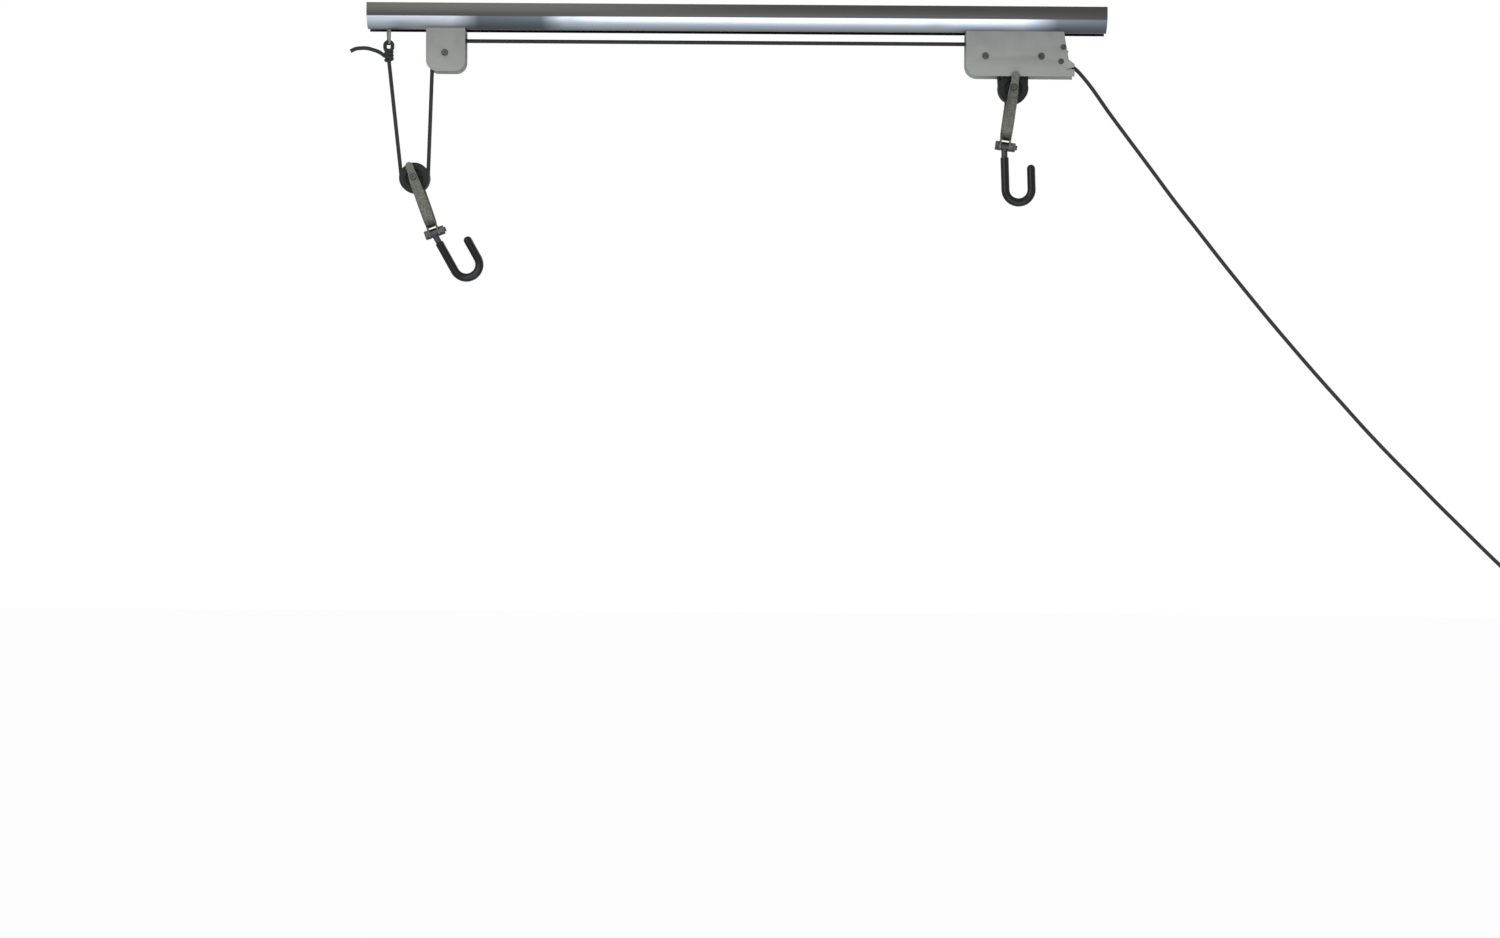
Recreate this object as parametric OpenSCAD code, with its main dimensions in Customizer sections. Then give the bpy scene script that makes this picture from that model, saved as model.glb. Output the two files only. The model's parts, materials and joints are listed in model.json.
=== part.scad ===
// Ceiling hoist for a bicycle: an aluminium rail, two cast brackets with pulleys,
// a rope lock, two hook blocks that hang in the bights of one rope, and a wall cleat.
// X runs along the rail, +Y away from the viewer, Z up.
// The origin is the centre of the rail's top face, where it meets the ceiling.

/* [Rail] */
// Length of the rail
rail_len = 945; // [900:5:1200]
// Width of the rail's top face
rail_w = 50; // [46:1:60]
// Height of the rail's section
rail_h = 32; // [30:1:38]
// Height of the upright part of each side, down to the crease
rail_side_h = 15; // [12:1:17]
// Width of the rail's underside, where the curved sides end
rail_foot_w = 23; // [22:1:26]
// How far each curved side bulges out of its chord
rail_bulge = 1.9; // [1.4:0.1:2.4]
// Wall thickness of the rail
rail_t = 2.2; // [1.8:0.1:2.6]
// Thickness of the two lips beside the slot
lip_t = 3; // [2.5:0.1:3.5]
// Width of the slot between the lips
slot_w = 18; // [16:1:19]
// Distance from each end of the rail to its ceiling screw hole
screw_inset = 66.1; // [64:0.1:68]
// Diameter of the ceiling screw holes
screw_hole_d = 6.5; // [5:0.5:8]

/* [Brackets] */
// Thickness of the bracket cheeks
cheek_t = 2.2; // [1.8:0.1:2.8]
// Width of a bracket over both cheeks
bracket_w = 29; // [28:0.5:30]
// Thickness of the bracket web under the rail
bracket_web_t = 3; // [2.5:0.1:3.4]
// How far the cheeks stand up beside the rail's lips
cheek_lap = 2.6; // [2:0.1:3]
// Distance from the rail's left end to the rear bracket
rear_inset = 75; // [72.5:0.5:77.5]
// Length of the rear bracket along the rail
rear_len = 50; // [48:1:54]
// Depth of the rear bracket's lowest edge under the ceiling
rear_drop = 85.5; // [84:0.5:90]
// Corner radius of the rear bracket
rear_corner_r = 14; // [10:1:18]
// Distance from the lock bracket's left edge to the rail's right end
lock_inset = 179.5; // [177.5:0.5:182.5]
// Length of the lock bracket's web along the rail
lock_web_len = 125; // [124:1:126]
// Length of the lock bracket's cheeks over the rope outlet
lock_len = 139; // [137:1:141]
// Depth of the lock bracket's lowest edge under the ceiling
lock_drop = 87.5; // [86:0.5:90]
// Corner radius of the lock bracket at its lower left
lock_corner_r = 16; // [12:1:20]

/* [Pulleys] */
// Radius of the rope's centre line on a pulley
pitch_r = 17; // [16.6:0.1:17.2]
// Radius of the pulley flanges
flange_r = 19.5; // [19.2:0.1:19.8]
// Width of the pulley rim
rim_w = 13; // [11:0.5:15]
// Thickness of the pulley's web
pulley_web_t = 5; // [4:0.5:7]
// Radius of the pulley's hub
hub_r = 6.5; // [5.5:0.1:7.5]
// Radius of every pulley axle
axle_r = 3; // [2.5:0.1:3.5]
// Depth of the bracket pulley axles under the ceiling
axle_drop = 62; // [61:0.5:63]
// Distance from the rear bracket's left edge to its axle
rear_axle_in = 24; // [22.5:0.5:25.5]
// Distance from the lock bracket's left edge to the rope's entry pulley
entry_axle_in = 25; // [24:0.5:26]
// Distance from the lock bracket's left edge to the rope's exit pulley
exit_axle_in = 96.5; // [96:0.1:97]

/* [Rope] */
// Diameter of the rope
rope_d = 5; // [4.6:0.1:5.2]
// Radius of the rope's turns in the knot
knot_turn_r = 3.6; // [3.4:0.1:4]

/* [Rope lock] */
// Radius of the fixed anvil under the rope
anvil_r = 4.2; // [3.8:0.1:4.4]
// Radius of the cam pin and the anvil pin
lock_pin_r = 2; // [1.6:0.1:2.2]
// Width of the toothed cam
cam_w = 9; // [7:0.5:11]
// Radius of the cam's hub
cam_hub_r = 4; // [3.6:0.1:4.4]
// Number of teeth on the cam
cam_teeth = 9; // [6:1:11]

/* [Hook blocks] */
// Inner distance between the legs of a stirrup
leg_gap = 30.8; // [30.6:0.1:32]
// Thickness of the stirrup's strap
leg_t = 2.5; // [2:0.1:3]
// Width of the stirrup's strap
strap_w = 13; // [12:0.5:14]
// Height of the stirrup's ear tips above the axle
ear_h = 20; // [18:0.5:22]
// Radius of the stirrup's ear tips
ear_r = 4.8; // [4.2:0.1:5.2]
// Outward flare of the ear tips, in degrees
ear_flare = 16; // [10:1:20]
// Distance from the axle to the hook bolt
bolt_dist = 74.5; // [73.5:0.5:78]
// Radius of the hook bolt
bolt_r = 3; // [2.5:0.1:3.2]
// Lean of the stirrup against the hook's shank, in degrees
shank_lean = 9.7; // [9:0.1:10.5]
// Radius of the hook's steel wire
hook_r = 4; // [3.5:0.1:4.2]
// Radius over the hook's vinyl sleeve
sleeve_r = 5.4; // [5:0.1:5.8]
// Radius of the hook's bowl, at the centre line of its wire
bowl_r = 16.8; // [16:0.1:18]
// Distance from the axle down to the centre of the hook's bowl
bowl_drop = 129; // [125:1:135]
// Length of the hook's straight tip
tip_len = 26; // [20:1:32]
// Tilt of the rear block as it hangs, in degrees
rear_tilt = 29.5; // [27:0.5:31]
// Tilt of the front block as it hangs, in degrees
front_tilt = 2; // [0:0.5:4]

/* [Wall cleat] */
// Radius of the cleat's neck
neck_r = 8; // [7.5:0.1:8.2]
// Length of the cleat's horns from tip to tip
horn_len = 108; // [90:2:130]
// Radius of a horn where it leaves the neck
horn_r = 6; // [5:0.1:6.4]
// Thickness of the cleat's base plate
base_t = 4; // [3:0.5:5]
// Width of the base plate
base_w = 44; // [42:1:50]
// Height of the base plate
base_h = 36; // [30:1:40]
// Distance between the cleat's screw holes
cleat_pitch = 32; // [31:0.5:33]
// Diameter of the cleat's screw holes
cleat_hole_d = 4.5; // [4:0.5:5]
// Turns of the rope round the cleat's neck
cleat_loops = 3; // [2:1:3]

/* [Fasteners] */
// Radius of the bracket bolts
stud_r = 3; // [2.5:0.1:3.2]
// Width across the corners of the nuts
nut_w = 11.5; // [11:0.1:12]
// Thickness of the bracket nuts
nut_t = 4.6; // [4:0.1:4.8]
// Radius of the rivet heads
rivet_head_r = 4.2; // [3.8:0.1:4.6]
// Thickness of the rivet heads
rivet_head_t = 1.6; // [1.2:0.1:1.8]

/* [Hidden] */
$fn = 48;
// Overrun of every cut past the face that it leaves
cut = 1;
// Running clearance of a bore round its pin, on the radius
run_gap = 0.06;
// Standing clearance between two pieces that move past each other
side_gap = 0.3;

// Rail section
chord = [(rail_w - rail_foot_w) / 2, rail_h - rail_side_h];
chord_len = norm(chord);
curve_r = (chord_len * chord_len / 4 + rail_bulge * rail_bulge) / (2 * rail_bulge);
curve_mid = [(rail_w + rail_foot_w) / 4, -(rail_h + rail_side_h) / 2];
curve_at = curve_mid - [chord[1], -chord[0]] / chord_len * (curve_r - rail_bulge);

// Place of each ceiling screw hole from the rail's middle
screw_x = rail_len / 2 - screw_inset;

// Brackets
rear_x = -rail_len / 2 + rear_inset;
lock_x = rail_len / 2 - lock_inset;
cheek_in = bracket_w / 2 - cheek_t;
web_z = -rail_h - bracket_web_t;
cheek_top = -rail_h + cheek_lap;
lock_end = lock_x + lock_len;
web_end = lock_x + lock_web_len;
// Places down the lock bracket's right edge, as shares of its depth below the rail
edge_drop_share = 0.61;
nose_drop_share = 0.715;
mouth_top_share = 0.78;
mouth_low_share = 0.84;
// Places along the lock bracket's nose, as shares of its length past the web
edge_reach_share = 0.47;
mouth_reach_share = 0.1;
pip_r = 1.5;
pip_h = 0.7;
// Bolt places along each bracket, as shares of its length
rear_bolt_shares = [0.17, 0.83];
lock_bolt_shares = [0.08, 0.47, 0.7];
t_head = [10, 22, 3.6];
stud_end = 1.2;

// Pulleys
hub_half = cheek_in - side_gap;
groove_r = rope_d / 2 + side_gap;
rim_in_r = 11.4;
groove_flare = 2;
spacer_r = 4.9;

// Rope, as places [x, z] in the middle plane
rope_r = rope_d / 2;
knot_inset = 25.5;
knot_drop = 55;
knot_foot_drop = 73;
knot_lean = 0.5;
knot_at = [-rail_len / 2 + knot_inset, -knot_drop];
knot_end = [knot_at[0] + knot_lean, -knot_foot_drop];
loop_half = 4.8;
loop_top = -46.5;
rear_axle = [rear_x + rear_axle_in, -axle_drop];
entry_axle = [lock_x + entry_axle_in, -axle_drop];
exit_axle = [lock_x + exit_axle_in, -axle_drop];
// Places of the hook blocks, from the brackets above them
rear_block_out = 15;
rear_block_drop = 221.5;
rear_block_at = [rear_x - rear_block_out, -rear_block_drop];
front_block_in = 61.5;
front_block_drop = 102;
front_block_at = [lock_x + front_block_in, -front_block_drop];
exit_reach = 2;
exit_drop = 75.5;
exit_at = [lock_end + exit_reach, -exit_drop];

// Rope lock, placed from the lock bracket's left edge
anvil_in = 121.7;
anvil_drop = 68.3;
anvil_at = [lock_x + anvil_in, -anvil_drop];
cam_in = 124.5;
cam_drop = 50;
cam_at = [lock_x + cam_in, -cam_drop];
cam_small_r = 5.5;
cam_grow = 3.2;
cam_start = 215;
cam_sweep = 120;
cam_step = 10;
tooth_h = 0.6;

// Hook blocks
leg_in = leg_gap / 2;
leg_out = leg_in + leg_t;
ear_bend_z = 6;
// Shoulder of the leg round the foot of its ear
ear_step = 0.3;
tab_gap = 10;
tab_t = 2;
tab_r = 6;
tab_sink_share = 0.33;
rib_w = 1.2;
rib_h = 0.9;
rib_top = -9;
eye_r = 5.6;
eye_w = 9;
// Room between the stirrup's bend and the hook's eye
eye_gap = 2;
bend_z = bolt_dist - leg_out - eye_r - eye_gap;
tab_z = bend_z + leg_in + tab_sink_share * leg_t;
shank_x = -13;
shank_top = -76;
sleeve_top = -88;
sleeve_gap = 0.05;
bolt_head_r = 5.8;
bolt_head_t = 4;
bolt_nut_t = 5.6;
bolt_tail = 2.4;
washer_r = 5.9;
washer_t = 1.1;

// Anchor strap of the rope's fixed end
anchor_x = knot_at[0];
anchor_t = 3;
anchor_turn = 20;
anchor_head = [21, 4];
anchor_neck_w = 15;
anchor_foot_w = 9;
anchor_hole_r = 3.4;

// Wall cleat
wall_reach = 615;
wall_x = lock_end + wall_reach;
cleat_z = -782;
wrap_r = 11;
wrap_out = 26;
wrap_start_x = wall_x - wrap_out;
wrap_pitch = 5.8;
wrap_run = 14;
tail_run = 46;
horn_out = 38;
horn_x = wall_x - horn_out;
horn_tip_r = 4;
neck_flare_r = 12;
neck_flare_t = 1.5;

// The hauling line's route from the lock's outlet, chosen by hand
haul_steps = [
    [0, 0, 0], [5, 0, -4.5], [13, 0, -13.5], [21, 0, -23.5], [29, 0, -34.5],
    [44, 1, -55.5], [68, 1, -87.5], [99, 1, -128.5], [130, 2, -169.5], [161, 2, -208.5],
    [192, 3, -247.5], [223, 3, -285.5], [254, 4, -322.5], [285, 4, -358.5], [316, 5, -393.5],
    [348, 6, -428.5], [379, 6, -462.5], [410, 7, -494.5], [441, 7, -525.5], [472, 8, -556.5],
    [503, 9, -586.5], [534, 10, -616.5], [556, 10, -637.5], [572, 11, -653.5], [582, 11, -666.5],
    [586, 11, -680.5], [587, 11, -692.5]
];
haul_route = [for (p = haul_steps) [exit_at[0] + p[0], p[1], exit_at[1] + p[2]]];
// The loose tail's route from the knot, chosen by hand
tail_steps = [
    [-5, 0, -10], [-12, 0, -5], [-20, 0, -2], [-28, 0, 0], [-36, 0, 0],
    [-43, 0, -1], [-49, 0, -4]
];
tail_route = [for (p = tail_steps) [knot_at[0] + p[0], p[1], knot_at[1] + p[2]]];
cord_sides = 8;
wrap_sides = 6;
wrap_rings = 24;
wrap_steps = 14;
ring_step = 14;

// Helpers for placing shapes

// A plate drawn as [x, z], from y_lo through a thickness along Y
module plate_y(y_lo, thick) {
    translate([0, y_lo + thick, 0])
        rotate([90, 0, 0])
            linear_extrude(thick) children();
}

// A plate drawn as [y, z], from x_lo through a thickness along X
module plate_x(x_lo, thick) {
    translate([x_lo, 0, 0])
        rotate([90, 0, 90])
            linear_extrude(thick) children();
}

// A round bar along Y at the place [x, z]
module bar_y(at, r, y_lo, y_hi) {
    translate([at[0], y_hi, at[1]])
        rotate([90, 0, 0])
            cylinder(r = r, h = y_hi - y_lo);
}

// A round bar along X at the place [y, z]
module bar_x(at, r, x_lo, x_hi) {
    translate([x_lo, at[0], at[1]])
        rotate([0, 90, 0])
            cylinder(r = r, h = x_hi - x_lo);
}

// A rivet along Y: a shank with a bevelled head past each end, one of them hollow
module rivet_y(at, r, half, head_r, head_t) {
    bevel = head_t / 2;
    translate([at[0], 0, at[1]])
        rotate([90, 0, 0])
            difference() {
                rotate_extrude() polygon([
                    [0, -half - head_t], [head_r - bevel, -half - head_t],
                    [head_r, -half - head_t + bevel], [head_r, -half], [r, -half],
                    [r, half], [head_r, half], [head_r, half + head_t - bevel],
                    [head_r - bevel, half + head_t], [0, half + head_t]
                ]);
                translate([0, 0, half])
                    cylinder(r = r / 2, h = head_t + cut);
            }
}

// A six-sided nut round the Z axis, with its bore
module nut(w, t, bore_r) {
    difference() {
        cylinder(d = w, h = t, $fn = 6);
        translate([0, 0, -cut])
            cylinder(r = bore_r, h = t + 2 * cut);
    }
}

// Rope geometry in the middle plane

function angle_of(v) = atan2(v[1], v[0]);
function unit(a) = [cos(a), sin(a)];
// Direction of the line that passes a first circle on its right and a second on its left
function cross_up(a, b) = angle_of(b - a) + asin(2 * pitch_r / norm(b - a));
// Direction of the line that passes a first circle on its left and a second on its right
function cross_down(a, b) = angle_of(b - a) - asin(2 * pitch_r / norm(b - a));
// Direction from a point to a circle that it passes on its right
function point_to(p, c, r) = angle_of(c - p) - asin(r / norm(c - p));

fall_a_dir = point_to(knot_end, rear_block_at, pitch_r);
fall_b_dir = cross_up(rear_block_at, rear_axle);
front_a_dir = cross_down(entry_axle, front_block_at);
front_b_dir = cross_up(front_block_at, exit_axle);
anvil_pitch_r = anvil_r + rope_r;
lock_vec = anvil_at - exit_axle;
lock_dir = angle_of(lock_vec) - asin((pitch_r - anvil_pitch_r) / norm(lock_vec));
out_dir = angle_of(exit_at - anvil_at) - 90 + acos(anvil_pitch_r / norm(exit_at - anvil_at));

// A straight length of rope between two places [x, z]
module rope_line(p, q) {
    translate([p[0], 0, p[1]])
        rotate([0, 90 - angle_of(q - p), 0])
            cylinder(r = rope_r, h = norm(q - p));
}

// A length of rope bent round the place c, from an angle on through a sweep
module rope_arc(c, r, start, sweep) {
    translate([c[0], 0, c[1]])
        rotate([90, 0, 0])
            rotate([0, 0, start])
                rotate_extrude(angle = sweep)
                    translate([r, 0]) circle(r = rope_r);
}

// A swept tube through computed points

function catmull(p0, p1, p2, p3, t) =
    0.5 * ((2 * p1) + (p2 - p0) * t + (2 * p0 - 5 * p1 + 4 * p2 - p3) * t * t
    + (3 * p1 - p0 - 3 * p2 + p3) * t * t * t);
function last(v) = v[len(v) - 1];
function smooth(p, step) = [
    for (i = [0 : len(p) - 2])
        let (
            before = i == 0 ? 2 * p[0] - p[1] : p[i - 1],
            after = i + 2 < len(p) ? p[i + 2] : 2 * p[i + 1] - p[i],
            n = ceil(norm(p[i + 1] - p[i]) / step)
        )
        for (k = [0 : n - 1]) catmull(before, p[i], p[i + 1], after, k / n),
    last(p)
];
function heading(p, i) =
    let (a = p[max(i - 1, 0)], b = p[min(i + 1, len(p) - 1)]) (b - a) / norm(b - a);
function ring(c, dir, ref, r, sides) =
    let (
        side = cross(dir, ref) / norm(cross(dir, ref)),
        up = cross(side, dir)
    )
    [for (k = [0 : sides - 1]) c + r * (cos(360 * k / sides) * side + sin(360 * k / sides) * up)];

module tube(path, ref, r, sides) {
    n = len(path);
    points = [for (i = [0 : n - 1]) each ring(path[i], heading(path, i), ref, r, sides)];
    walls = [
        for (i = [0 : n - 2], k = [0 : sides - 1])
            let (a = i * sides + k, b = i * sides + (k + 1) % sides)
            each [[a, b, a + sides], [b, b + sides, a + sides]]
    ];
    first_cap = [for (k = [1 : sides - 2]) [0, k + 1, k]];
    end = (n - 1) * sides;
    end_cap = [for (k = [1 : sides - 2]) [end, end + k, end + k + 1]];
    polyhedron(points = points, faces = concat(walls, first_cap, end_cap));
}

// Rail

module rail_outline(inset) {
    intersection() {
        translate([-rail_w / 2 + inset, -rail_h + inset])
            square([rail_w - 2 * inset, rail_h - 2 * inset]);
        translate(curve_at) circle(r = curve_r - inset, $fn = 96);
        translate([-curve_at[0], curve_at[1]]) circle(r = curve_r - inset, $fn = 96);
    }
}

module rail_cavity() {
    intersection() {
        rail_outline(rail_t);
        translate([-rail_w / 2, -rail_h + lip_t])
            square([rail_w, rail_h - lip_t]);
    }
    translate([-slot_w / 2, -rail_h - cut])
        square([slot_w, lip_t + 2 * cut]);
}

module rail() {
    color("silver")
        difference() {
            translate([-rail_len / 2, 0, 0])
                plate_x(0, rail_len)
                    difference() {
                        rail_outline(0);
                        rail_cavity();
                    }
            for (side = [-1, 1])
                translate([side * screw_x, 0, -rail_t - cut])
                    cylinder(d = screw_hole_d, h = rail_t + 2 * cut);
        }
}

// Brackets

module rear_cheek() {
    low = -rear_drop + rear_corner_r;
    translate([rear_x, low]) square([rear_len, cheek_top - low]);
    translate([rear_x + rear_corner_r, -rear_drop])
        square([rear_len - 2 * rear_corner_r, rear_corner_r + cut]);
    for (x = [rear_x + rear_corner_r, rear_x + rear_len - rear_corner_r])
        translate([x, low]) circle(r = rear_corner_r);
}

module lock_cheek() {
    depth = lock_drop - rail_h;
    nose = lock_end - web_end;
    mouth_x = web_end + mouth_reach_share * nose;
    polygon([
        [lock_x, cheek_top], [web_end, cheek_top],
        [web_end + edge_reach_share * nose, -rail_h - edge_drop_share * depth],
        [lock_end, -rail_h - nose_drop_share * depth],
        [lock_end, -rail_h - mouth_top_share * depth],
        [mouth_x, -rail_h - mouth_low_share * depth],
        [lock_end, -rail_h - mouth_low_share * depth],
        [lock_end, -lock_drop], [lock_x + lock_corner_r, -lock_drop],
        [lock_x + lock_corner_r, -lock_drop + lock_corner_r],
        [lock_x, -lock_drop + lock_corner_r]
    ]);
    translate([lock_x + lock_corner_r, -lock_drop + lock_corner_r])
        circle(r = lock_corner_r);
}

// Both cheeks from one outline, with the web between them and the rail's shape cut away
module bracket_body(x_lo, length, bolt_places) {
    difference() {
        union() {
            plate_y(-bracket_w / 2, cheek_t) children();
            plate_y(cheek_in, cheek_t) children();
            translate([x_lo, -cheek_in, web_z])
                cube([length, 2 * cheek_in, bracket_web_t]);
        }
        translate([x_lo - cut, 0, 0])
            plate_x(0, length + rail_h)
                rail_outline(-side_gap / 2);
        for (x = bolt_places)
            translate([x, 0, web_z - cut])
                cylinder(r = stud_r + run_gap, h = bracket_web_t + 2 * cut);
    }
}

function places(x_lo, length, shares) = [for (s = shares) x_lo + s * length];
rear_bolts = places(rear_x, rear_len, rear_bolt_shares);
lock_bolts = places(lock_x, lock_len, lock_bolt_shares);

module rear_bracket() {
    color([0.56, 0.56, 0.54])
        difference() {
            bracket_body(rear_x, rear_len, rear_bolts) rear_cheek();
            bar_y(rear_axle, axle_r + run_gap, -bracket_w, bracket_w);
        }
}

module lock_bracket() {
    pip_at = [lock_end - pip_r, -rail_h - nose_drop_share * (lock_drop - rail_h) - pip_r / 2];
    color([0.56, 0.56, 0.54])
        difference() {
            union() {
                bracket_body(lock_x, lock_web_len, lock_bolts) lock_cheek();
                bar_y(pip_at, pip_r, -bracket_w / 2 - pip_h, -cheek_in);
                bar_y(pip_at, pip_r, cheek_in, bracket_w / 2 + pip_h);
            }
            bar_y(entry_axle, axle_r + run_gap, -bracket_w, bracket_w);
            bar_y(exit_axle, axle_r + run_gap, -bracket_w, bracket_w);
            bar_y(anvil_at, lock_pin_r + run_gap, -bracket_w, bracket_w);
            bar_y(cam_at, lock_pin_r + run_gap, -bracket_w, bracket_w);
        }
}

// T-headed bolts that hang in the rail's slot and hold a bracket's web
module slot_bolts(bolt_places) {
    head_z = -rail_h + lip_t;
    low = web_z - nut_t - stud_end;
    for (x = bolt_places) {
        translate([x - t_head[0] / 2, -t_head[1] / 2, head_z])
            cube(t_head);
        translate([x, 0, low])
            cylinder(r = stud_r, h = head_z - low + cut);
    }
}

module slot_nuts(bolt_places) {
    for (x = bolt_places)
        translate([x, 0, web_z - nut_t])
            nut(nut_w, nut_t, stud_r + run_gap);
}

module rear_bracket_bolts() {
    color("gray") slot_bolts(rear_bolts);
}

module rear_bracket_nuts() {
    color("silver") slot_nuts(rear_bolts);
}

module lock_bracket_bolts() {
    color("gray") slot_bolts(lock_bolts);
}

module lock_bracket_nuts() {
    color("silver") slot_nuts(lock_bolts);
}

// A flat T-shaped strap whose head lies across the slot, on the lips
module rope_anchor() {
    head_z = -rail_h + lip_t;
    foot_r = anchor_foot_w / 2;
    color([0.45, 0.46, 0.46])
        translate([anchor_x, 0, 0])
            rotate([0, 0, anchor_turn])
                difference() {
                    union() {
                        translate([0, 0, head_z])
                            plate_x(-anchor_t / 2, anchor_t)
                                translate([-anchor_head[0] / 2, 0]) square(anchor_head);
                        plate_x(-anchor_t / 2, anchor_t) {
                            polygon([
                                [-anchor_neck_w / 2, head_z + cut], [anchor_neck_w / 2, head_z + cut],
                                [anchor_neck_w / 2, -rail_h], [foot_r, loop_top],
                                [-foot_r, loop_top], [-anchor_neck_w / 2, -rail_h]
                            ]);
                            translate([0, loop_top]) circle(r = foot_r);
                        }
                    }
                    bar_x([0, loop_top], anchor_hole_r, -anchor_t, anchor_t);
                }
}

// Pulleys and their axles

module pulley(at) {
    bore_r = axle_r + run_gap;
    color([0.06, 0.06, 0.06])
        translate([at[0], 0, at[1]])
            rotate([90, 0, 0])
                rotate_extrude($fn = 64)
                    difference() {
                        union() {
                            translate([bore_r, -hub_half])
                                square([hub_r - bore_r, 2 * hub_half]);
                            translate([bore_r, -pulley_web_t / 2])
                                square([rim_in_r, pulley_web_t]);
                            translate([rim_in_r, -rim_w / 2])
                                square([flange_r - rim_in_r, rim_w]);
                        }
                        translate([pitch_r, 0]) circle(r = groove_r);
                        polygon([
                            [pitch_r, -groove_r], [flange_r + cut, -groove_r - groove_flare],
                            [flange_r + cut, groove_r + groove_flare], [pitch_r, groove_r]
                        ]);
                    }
}

module bracket_rivet(at) {
    color("darkgray")
        rivet_y(at, axle_r, bracket_w / 2, rivet_head_r, rivet_head_t);
}

module rear_bracket_axle() {
    bracket_rivet(rear_axle);
}

module rear_bracket_pulley() {
    pulley(rear_axle);
}

module entry_axle_rivet() {
    bracket_rivet(entry_axle);
}

module entry_pulley() {
    pulley(entry_axle);
}

module exit_axle_rivet() {
    bracket_rivet(exit_axle);
}

module exit_pulley() {
    pulley(exit_axle);
}

// Rope lock: an eccentric toothed cam above the rope and a fixed anvil below it

function cam_edge_r(a) = cam_small_r + cam_grow * (a - cam_start) / cam_sweep;

module lock_cam() {
    end = cam_start + cam_sweep;
    tooth_turn = cam_sweep / cam_teeth;
    color([0.35, 0.35, 0.36])
        translate([cam_at[0], 0, cam_at[1]])
            difference() {
                union() {
                    plate_y(-cam_w / 2, cam_w)
                        union() {
                            polygon(concat([[0, 0]],
                                [for (a = [cam_start : cam_step : end]) cam_edge_r(a) * unit(a)]));
                            for (i = [0 : cam_teeth - 1])
                                let (a = cam_start + (i + 0.5) * tooth_turn, r = cam_edge_r(a))
                                polygon([
                                    (r - tooth_h) * unit(a - tooth_turn / 3),
                                    (r + tooth_h) * unit(a),
                                    (r - tooth_h) * unit(a + tooth_turn / 3)
                                ]);
                        }
                    bar_y([0, 0], cam_hub_r, -hub_half, hub_half);
                }
                bar_y([0, 0], lock_pin_r + run_gap, -bracket_w, bracket_w);
            }
}

module cam_pin() {
    color("darkgray")
        rivet_y(cam_at, lock_pin_r, bracket_w / 2, lock_pin_r + rivet_head_t, rivet_head_t / 2);
}

module lock_anvil() {
    color([0.6, 0.6, 0.6])
        difference() {
            bar_y(anvil_at, anvil_r, -cheek_in, cheek_in);
            bar_y(anvil_at, lock_pin_r + run_gap, -bracket_w, bracket_w);
        }
}

module anvil_pin() {
    color("darkgray")
        rivet_y(anvil_at, lock_pin_r, bracket_w / 2, lock_pin_r + rivet_head_t, rivet_head_t / 2);
}

// Hook blocks, each drawn with its axle at the origin and its shank along -Z

module at_block(place, tilt) {
    translate([place[0], 0, place[1]])
        rotate([0, -tilt, 0]) children();
}

module block_axle(place) {
    color("darkgray")
        rivet_y(place, axle_r, leg_out + side_gap, rivet_head_r, rivet_head_t);
}

module block_spacers(place) {
    outer = leg_in - side_gap;
    color("silver")
        for (y = [-outer, cheek_in])
            difference() {
                bar_y(place, spacer_r, y, y + outer - cheek_in);
                bar_y(place, axle_r + run_gap, y - cut, y + outer);
            }
}

module strap_outline() {
    half = strap_w / 2;
    polygon([
        [-ear_r - ear_step, ear_bend_z], [ear_r + ear_step, ear_bend_z],
        [half, rib_top], [half, -bend_z],
        [-half, -bend_z], [-half, rib_top]
    ]);
}

module leg() {
    translate([0, leg_in, 0]) {
        plate_y(0, leg_t) strap_outline();
        translate([0, ear_step, ear_bend_z])
            rotate([-ear_flare, 0, 0])
                plate_y(0, leg_t - ear_step) {
                    translate([-ear_r, -ear_step])
                        square([2 * ear_r, ear_h - ear_r - ear_bend_z + ear_step]);
                    translate([0, ear_h - ear_r - ear_bend_z]) circle(r = ear_r);
                }
        for (x = [-strap_w / 2, strap_w / 2 - rib_w])
            translate([x, leg_t / 2, -bend_z + rib_w])
                cube([rib_w, leg_t / 2 + rib_h, bend_z - rib_w + rib_top]);
    }
}

// The stirrup: one strap bent to a U, with two tabs turned down for the hook bolt
module stirrup() {
    lean_to_shank() {
        difference() {
            union() {
                leg();
                mirror([0, 1, 0]) leg();
                translate([0, 0, -bend_z])
                    rotate([0, 90, 0])
                        rotate([0, 0, -90])
                            rotate_extrude(angle = 180)
                                translate([leg_in, -strap_w / 2]) square([leg_t, strap_w]);
                for (x = [-tab_gap / 2 - tab_t, tab_gap / 2])
                    plate_x(x, tab_t) {
                        translate([0, -bolt_dist]) circle(r = tab_r);
                        translate([-tab_r, -bolt_dist])
                            square([2 * tab_r, bolt_dist - tab_z]);
                    }
            }
            bar_y([0, 0], axle_r + run_gap, -bracket_w, bracket_w);
            bar_x([0, -bolt_dist], bolt_r + run_gap, -strap_w, strap_w);
        }
    }
}

module lean_to_shank() {
    rotate([0, shank_lean, 0]) children();
}

tab_out = tab_gap / 2 + tab_t;

module hook_bolt() {
    lean_to_shank() {
        bar_x([0, -bolt_dist], bolt_r, -tab_out - cut, tab_out + washer_t + bolt_nut_t + bolt_tail);
        bar_x([0, -bolt_dist], washer_r, -tab_out - washer_t, -tab_out);
        translate([-tab_out - washer_t - bolt_head_t, 0, -bolt_dist])
            rotate([0, 90, 0])
                cylinder(r = bolt_head_r, h = bolt_head_t, $fn = 6);
    }
}

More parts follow.
